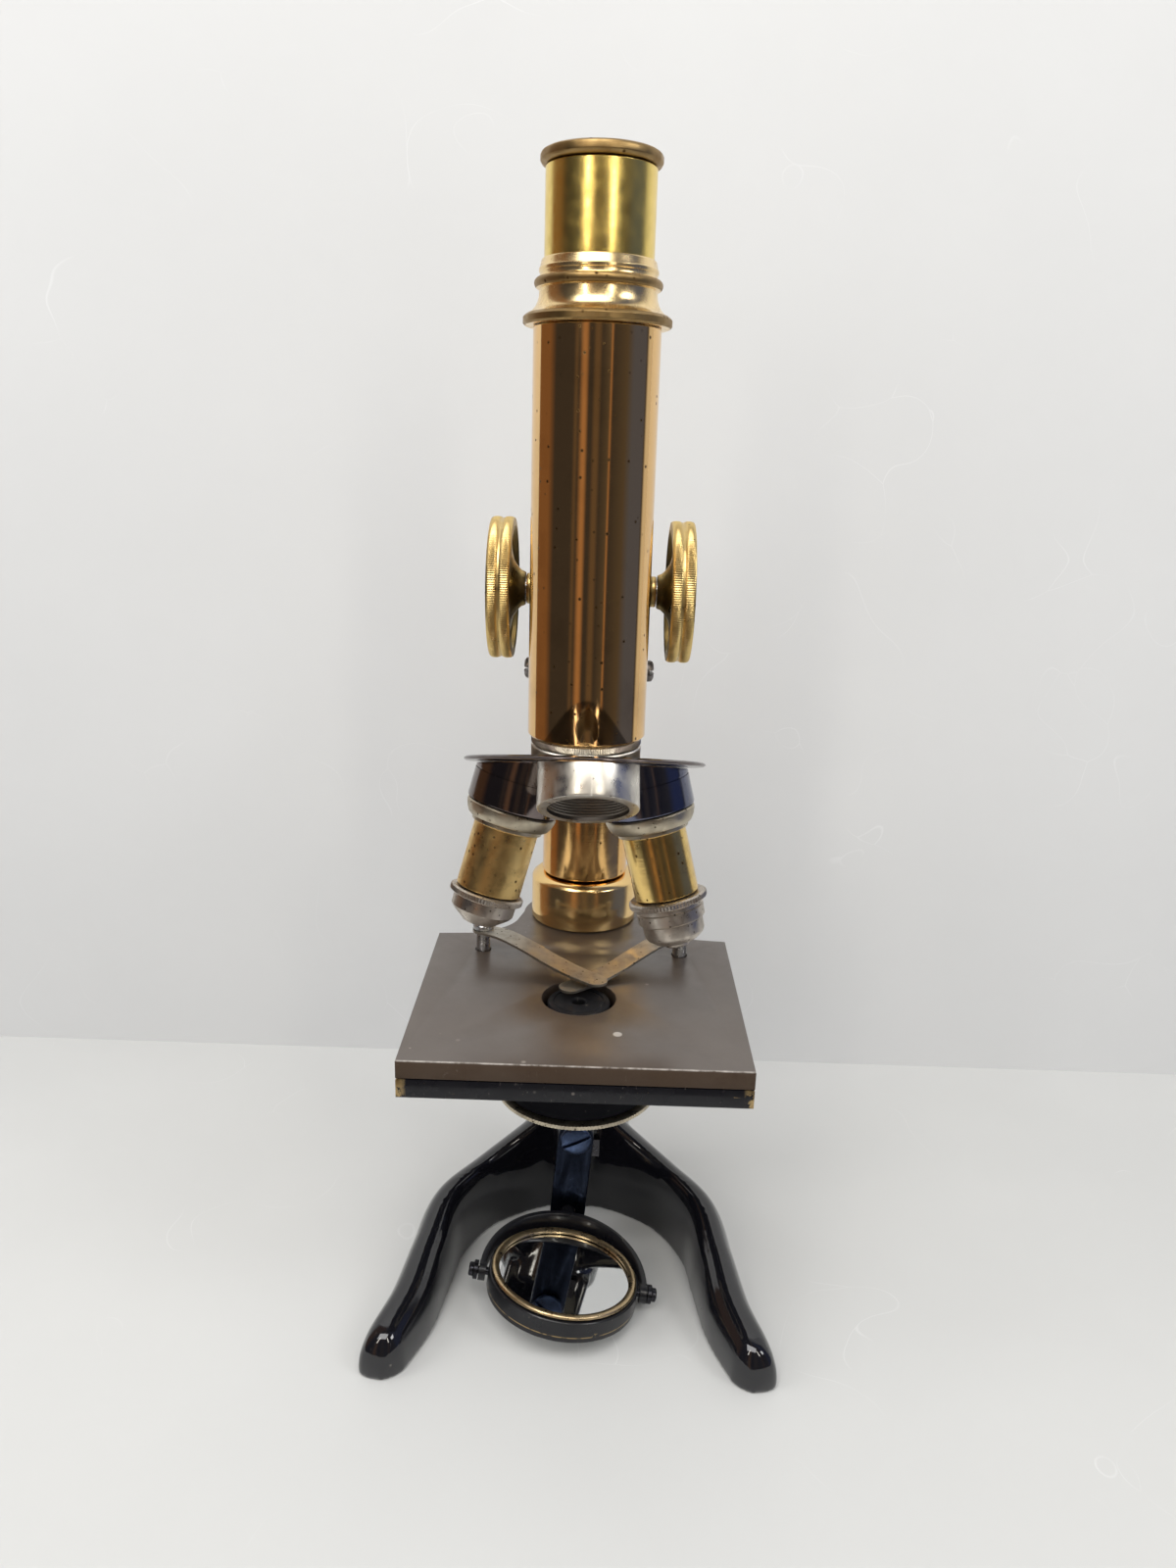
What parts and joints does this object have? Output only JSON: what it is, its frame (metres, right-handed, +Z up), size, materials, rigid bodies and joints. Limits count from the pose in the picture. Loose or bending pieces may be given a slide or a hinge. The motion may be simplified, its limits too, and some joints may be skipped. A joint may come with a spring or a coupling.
{
  "type": "microscope",
  "caption": "Upright brass and black lacquer compound microscope on a horseshoe claw foot, with a square stage, focusing tube, revolving nosepiece and a tilting mirror.",
  "frame": {"origin": "on the table, under the middle of the whole microscope", "axes": "+Z up along the tube, -Y towards the front, where the open side of the foot and the stage face, +X to the right as seen from the front"},
  "size_m": [0.1244, 0.1355, 0.3327],
  "materials": {
    "black_lacquer": "gloss black lacquer on metal",
    "ebonite": "satin aged hard rubber",
    "polished_brass": "polished lacquered brass",
    "satin_brass": "brushed aged brass",
    "nickel": "worn nickel plate",
    "steel": "bright steel",
    "blued_steel": "blued steel",
    "glass": "clear",
    "mirror": "silvered glass"
  },
  "bodies": {
    "foot": {"foot_casting": "black_lacquer", "hinge_pin": "steel", "hinge_screw_left": "blued_steel", "hinge_screw_right": "blued_steel"},
    "stage": {"stage_top_plate": "ebonite", "stage_under_plate": "black_lacquer", "stage_bracket": "black_lacquer", "column_base_sleeve": "polished_brass", "prism_guide": "steel", "substage_housing": "black_lacquer", "aperture_stop": "black_lacquer", "mirror_bracket": "black_lacquer", "bar_stop": "steel", "return_spring": "steel"},
    "iris": {"iris_ring": "nickel"},
    "clip_left": {"stage_clip_left": "nickel", "clip_post_left": "steel"},
    "clip_right": {"stage_clip_right": "nickel", "clip_post_right": "steel"},
    "mirror_bar": {"mirror_bar": "blued_steel", "bar_pivot_screw": "blued_steel"},
    "mirror_fork": {"mirror_fork": "black_lacquer", "mirror_screw_left": "blued_steel", "mirror_screw_right": "blued_steel"},
    "mirror": {"mirror_cell": "black_lacquer", "mirror_bezel": "polished_brass", "mirror_plane_glass": "mirror", "mirror_concave_glass": "mirror"},
    "fine_focus": {"fine_focus_head": "polished_brass", "micrometer_screw": "steel"},
    "column": {"column_sleeve": "polished_brass", "limb_arm": "black_lacquer", "limb_screw_left": "steel", "limb_screw_right": "steel"},
    "coarse_focus": {"pinion": "steel", "coarse_knob_left": "polished_brass", "coarse_knob_right": "polished_brass"},
    "tube": {"body_tube": "polished_brass", "tube_collar": "satin_brass", "rack_slide": "satin_brass", "nosepiece_ring": "nickel", "nosepiece_mount": "nickel", "nosepiece_pivot_screw": "steel"},
    "draw_tube": {"draw_tube": "satin_brass"},
    "eyepiece": {"eyepiece_barrel": "satin_brass", "eye_lens": "glass", "field_lens": "glass"},
    "nosepiece": {"nosepiece_plate": "nickel", "socket_front": "nickel", "socket_left": "nickel", "socket_right": "nickel", "objective_left_barrel": "satin_brass", "objective_left_nose": "nickel", "objective_left_lens": "glass", "objective_right_barrel": "satin_brass", "objective_right_nose": "nickel", "objective_right_lens": "glass"}
  },
  "joints": [
    {"name": "inclination", "type": "hinge", "parent": "foot", "child": "stage", "pos_m": [0, 0.0472, 0.079], "axis": [-1, 0, 0], "range_deg": [0, 45]},
    {"name": "iris_turn", "type": "hinge", "parent": "stage", "child": "iris", "pos_m": [0, -0.0165, 0.0803], "axis": [0, 0, 1], "range_deg": [-45, 45]},
    {"name": "clip_left_swivel", "type": "hinge", "parent": "stage", "child": "clip_left", "pos_m": [-0.0315, 0.0155, 0.11], "axis": [0, 0, 1], "range_deg": [-30, 0]},
    {"name": "clip_right_swivel", "type": "hinge", "parent": "stage", "child": "clip_right", "pos_m": [0.0315, 0.0155, 0.11], "axis": [0, 0, 1], "range_deg": [0, 30]},
    {"name": "mirror_bar_swing", "type": "hinge", "parent": "stage", "child": "mirror_bar", "pos_m": [0, 0.0135, 0.042], "axis": [0, 1, 0], "range_deg": [-6, 2]},
    {"name": "mirror_fork_turn", "type": "hinge", "parent": "mirror_bar", "child": "mirror_fork", "pos_m": [-0.00223, 0.0135, 0.01299], "axis": [0, 1, 0], "range_deg": [-10, 2]},
    {"name": "mirror_tilt", "type": "hinge", "parent": "mirror_fork", "child": "mirror", "pos_m": [-0.00268, -0.0165, 0.00962], "axis": [0.9914, 0, -0.1305], "range_deg": [-4, 12]},
    {"name": "fine_focus_turn", "type": "hinge", "parent": "stage", "child": "fine_focus", "pos_m": [0, 0.0472, 0.24], "axis": [0, 0, 1], "range_deg": [-361, 1441]},
    {"name": "fine_slide", "type": "slide", "parent": "stage", "child": "column", "axis": [0, 0, 1], "range_m": [-0.0005, 0.002], "deforming": ["return_spring"]},
    {"name": "coarse_focus_turn", "type": "hinge", "parent": "column", "child": "coarse_focus", "pos_m": [0, 0.0125, 0.2257], "axis": [1, 0, 0], "range_deg": [-342, 137]},
    {"name": "coarse_slide", "type": "slide", "parent": "column", "child": "tube", "axis": [0, 0, 1], "range_m": [-0.01, 0.025]},
    {"name": "draw_tube_slide", "type": "slide", "parent": "tube", "child": "draw_tube", "axis": [0, 0, 1], "range_m": [0, 0.05]},
    {"name": "eyepiece_lift", "type": "slide", "parent": "draw_tube", "child": "eyepiece", "axis": [0, 0, 1], "range_m": [0, 0.055]},
    {"name": "nosepiece_turn", "type": "hinge", "parent": "tube", "child": "nosepiece", "pos_m": [0, -0.0165, 0.2421], "axis": [0, 0.2902, 0.957], "continuous": true}
  ],
  "couplings": [
    {"joint": "coarse_focus_turn", "follows": "coarse_slide", "rad_per_m": -238.1},
    {"joint": "fine_focus_turn", "follows": "fine_slide", "rad_per_m": 12566}
  ]
}
